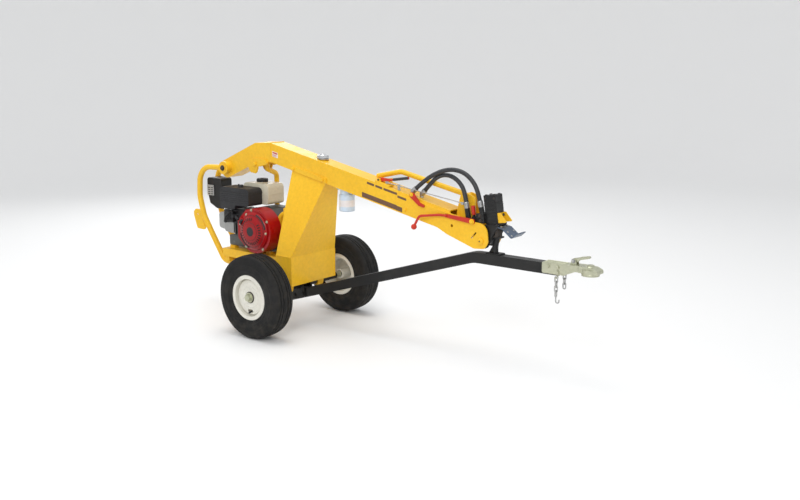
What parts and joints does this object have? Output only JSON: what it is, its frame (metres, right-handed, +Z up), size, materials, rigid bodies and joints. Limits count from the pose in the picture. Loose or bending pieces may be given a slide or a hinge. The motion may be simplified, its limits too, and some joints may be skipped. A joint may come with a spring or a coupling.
{
  "type": "towable hydraulic earth drill",
  "caption": "Towable hydraulic post-hole drill: boom on a wheeled axle with engine and oil tank at the rear, auger motor at the nose, ball coupler on a tow bar.",
  "frame": {"origin": "on the ground under the middle of the machine's length and width", "axes": "+X forward to the hitch, +Y to the machine's left, +Z up"},
  "size_m": [2.565, 0.8248, 0.9808],
  "materials": {
    "yellow_paint": "gloss paint",
    "black_paint": "satin paint",
    "tyre": "matt rubber",
    "cream_paint": "gloss paint",
    "steel": "turned steel",
    "zinc": "zinc plate",
    "chrome": "polished",
    "red_paint": "gloss paint",
    "red_plastic": "gloss",
    "beige_paint": "gloss paint",
    "black_plastic": "moulded",
    "aluminium": "cast",
    "iron": "rough cast",
    "filter_paint": "gloss paint",
    "rubber": "braided hose cover",
    "dark_steel": "worn plate"
  },
  "bodies": {
    "chassis": {"axle_shaft": "black_paint", "axle_nuts": "steel", "tow_bar": "black_paint", "axle_clamp": "black_paint", "transport_post": "black_paint", "coupler_body": "zinc", "coupler_bolts": "steel"},
    "wheel_right": {"tyre_right": "tyre", "rim_right": "cream_paint", "wheel_hub_right": "steel"},
    "wheel_left": {"tyre_left": "tyre", "rim_left": "cream_paint", "wheel_hub_left": "steel"},
    "coupler_latch": {"coupler_latch": "zinc"},
    "safety_chains": {"safety_chains": "zinc"},
    "boom": {"boom_tube": "yellow_paint", "rear_arm": "yellow_paint", "rear_hub": "yellow_paint", "kink_brackets": "yellow_paint", "boom_bolts": "steel", "oil_tank": "yellow_paint", "tank_flange": "yellow_paint", "axle_bearings": "yellow_paint", "return_filter": "filter_paint", "cheek_right": "yellow_paint", "cheek_left": "yellow_paint", "pivot_pin": "steel", "handle_bracket": "yellow_paint", "hose_fittings": "steel", "hose_outer": "rubber", "hose_inner": "rubber", "engine_hoop_right": "yellow_paint", "engine_hoop_left": "yellow_paint", "engine_stay": "yellow_paint", "engine_plate": "yellow_paint", "crankcase": "aluminium", "cylinder": "aluminium", "cylinder_head": "aluminium", "fan_cover": "red_paint", "recoil_cover": "red_plastic", "air_cleaner": "black_plastic", "fuel_tank": "beige_paint", "muffler": "iron", "hydraulic_pump": "iron"},
    "head": {"head_yoke": "black_paint", "auger_motor": "black_paint", "port_block": "black_paint", "skid_plate": "dark_steel", "head_guard": "yellow_paint"},
    "output_hub": {"output_hub": "steel"},
    "handle": {"handle": "yellow_paint"},
    "latch_lever": {"latch_lever": "red_paint"},
    "lock_lever": {"lock_lever": "red_paint"},
    "side_lever": {"side_lever": "red_paint"},
    "spool_lever": {"spool_lever": "red_paint"},
    "filler_cap": {"filler_cap": "chrome"},
    "fuel_cap": {"fuel_cap": "black_plastic"},
    "crankshaft": {"crankshaft": "steel"},
    "starter_handle": {"starter_handle": "black_plastic"},
    "throttle_lever": {"throttle_lever": "steel"}
  },
  "joints": [
    {"name": "wheel_right_spin", "type": "hinge", "parent": "chassis", "child": "wheel_right", "pos_m": [-0.4795, -0.3464, 0.219], "axis": [0, 1, 0], "continuous": true},
    {"name": "wheel_left_spin", "type": "hinge", "parent": "chassis", "child": "wheel_left", "pos_m": [-0.4795, 0.3464, 0.219], "axis": [0, 1, 0], "continuous": true},
    {"name": "coupler_latch_lift", "type": "hinge", "parent": "chassis", "child": "coupler_latch", "pos_m": [1.1605, 0, 0.564], "axis": [0, -1, 0], "range_deg": [0, 70]},
    {"name": "chains_swing", "type": "hinge", "parent": "chassis", "child": "safety_chains", "pos_m": [1.0925, 0, 0.4832], "axis": [0, 1, 0], "range_deg": [-50, 50]},
    {"name": "boom_lift", "type": "hinge", "parent": "chassis", "child": "boom", "pos_m": [-0.4795, 0, 0.219], "axis": [0, -1, 0], "range_deg": [0, 24]},
    {"name": "head_swing", "type": "hinge", "parent": "boom", "child": "head", "pos_m": [0.7085, 0, 0.605], "axis": [0, -1, 0], "range_deg": [0, 12], "deforming": ["hose_outer", "hose_inner"]},
    {"name": "output_spin", "type": "hinge", "parent": "head", "child": "output_hub", "pos_m": [0.7525, 0, 0.682], "axis": [-0.1392, 0, 0.9903], "continuous": true},
    {"name": "handle_fold", "type": "hinge", "parent": "boom", "child": "handle", "pos_m": [0.5825, 0.02, 0.788], "axis": [0, 1, 0], "range_deg": [0, 130]},
    {"name": "latch_lift", "type": "hinge", "parent": "boom", "child": "latch_lever", "pos_m": [0.0965, -0.031, 0.839], "axis": [0, -1, 0], "range_deg": [0, 95]},
    {"name": "lock_lift", "type": "hinge", "parent": "boom", "child": "lock_lever", "pos_m": [0.3145, -0.0609, 0.786], "axis": [0, -1, 0], "range_deg": [0, 80]},
    {"name": "side_lever_lift", "type": "hinge", "parent": "boom", "child": "side_lever", "pos_m": [0.6635, -0.0619, 0.691], "axis": [0, 1, 0], "range_deg": [0, 35]},
    {"name": "spool_tilt", "type": "hinge", "parent": "head", "child": "spool_lever", "pos_m": [0.65378, -0.03, 0.70902], "axis": [0, 1, 0], "range_deg": [-9, 9], "stiffness_Nm_per_rad": 0.6},
    {"name": "filler_cap_turn", "type": "hinge", "parent": "boom", "child": "filler_cap", "pos_m": [-0.3165, 0, 0.918], "axis": [0, 0, 1], "range_deg": [0, 90]},
    {"name": "fuel_cap_turn", "type": "hinge", "parent": "boom", "child": "fuel_cap", "pos_m": [-0.7745, 0, 0.763], "axis": [0, 0, 1], "range_deg": [0, 90]},
    {"name": "crank_spin", "type": "hinge", "parent": "boom", "child": "crankshaft", "pos_m": [-0.6695, 0, 0.513], "axis": [0, 1, 0], "continuous": true},
    {"name": "starter_pull", "type": "slide", "parent": "boom", "child": "starter_handle", "axis": [-0.866, 0, 0.5], "range_m": [0, 0.4], "stiffness_N_per_m": 25},
    {"name": "throttle_swing", "type": "hinge", "parent": "boom", "child": "throttle_lever", "pos_m": [-0.9215, -0.1095, 0.553], "axis": [0, 1, 0], "range_deg": [-20, 20]}
  ]
}
